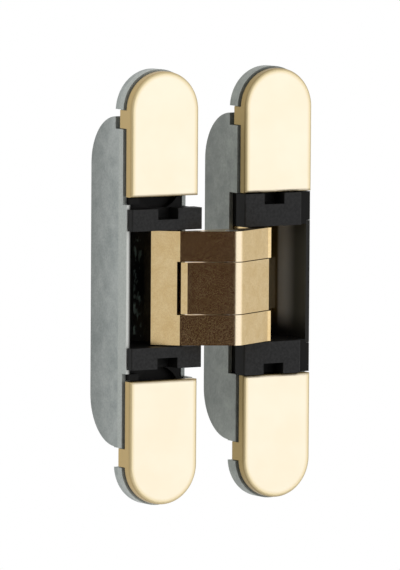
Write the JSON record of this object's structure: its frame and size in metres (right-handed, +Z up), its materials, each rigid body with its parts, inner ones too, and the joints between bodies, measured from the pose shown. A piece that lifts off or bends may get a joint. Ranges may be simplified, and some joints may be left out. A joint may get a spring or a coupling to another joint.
{
  "type": "concealed door hinge",
  "caption": "Adjustable concealed door hinge: two long round-ended halves joined by interleaved chevron arms that fold into their pockets.",
  "frame": {"origin": "centre of the frame half's screw pattern, on the seat plane at the back of its flange", "axes": "+X from the frame half to the door half with the hinge open at 180 degrees, +Y into the wood, +Z up along the hinge"},
  "size_m": [0.0594, 0.0295, 0.12],
  "materials": {
    "zinc": "bare zinc casting with a mottled blast texture",
    "satin_brass": "pale gold satin",
    "black_plastic": "matte black moulding",
    "arm_brass": "satin gold",
    "pin_steel": "ground steel",
    "screw_steel": "dark zinc-plated steel"
  },
  "bodies": {
    "frame_half": {"frame_housing": "zinc", "frame_upper_cover": "satin_brass", "frame_lower_cover": "satin_brass", "frame_upper_block": "black_plastic", "frame_lower_block": "black_plastic", "frame_pivot_pin": "pin_steel", "frame_upper_clamp_screw": "screw_steel", "frame_upper_adjuster": "screw_steel", "frame_lower_clamp_screw": "screw_steel", "frame_lower_adjuster": "screw_steel"},
    "centre_link": {"centre_arm": "arm_brass", "door_guide_pin": "pin_steel"},
    "fork_link": {"fork_arm": "arm_brass", "frame_guide_pin": "pin_steel", "centre_pin": "pin_steel"},
    "door_half": {"door_housing": "zinc", "door_upper_cover": "satin_brass", "door_lower_cover": "satin_brass", "door_upper_block": "black_plastic", "door_lower_block": "black_plastic", "door_pivot_pin": "pin_steel", "door_upper_clamp_screw": "screw_steel", "door_upper_adjuster": "screw_steel", "door_lower_clamp_screw": "screw_steel", "door_lower_adjuster": "screw_steel"}
  },
  "joints": [
    {"name": "frame_pivot", "type": "hinge", "parent": "frame_half", "child": "centre_link", "pos_m": [0.0068, -0.0001, 0], "axis": [0, 0, -1], "range_deg": [0, 96.95]},
    {"name": "centre_pivot", "type": "hinge", "parent": "centre_link", "child": "fork_link", "pos_m": [0.0184, -0.0126, 0], "axis": [0, 0, 1], "range_deg": [0, 14]},
    {"name": "door_pivot", "type": "hinge", "parent": "fork_link", "child": "door_half", "pos_m": [0.03, -0.0001, 0], "axis": [0, 0, -1], "range_deg": [0, 97]}
  ],
  "couplings": [
    {"joint": "centre_pivot", "follows": "frame_pivot", "ratio": 0.14355},
    {"joint": "door_pivot", "follows": "frame_pivot", "ratio": 1}
  ]
}
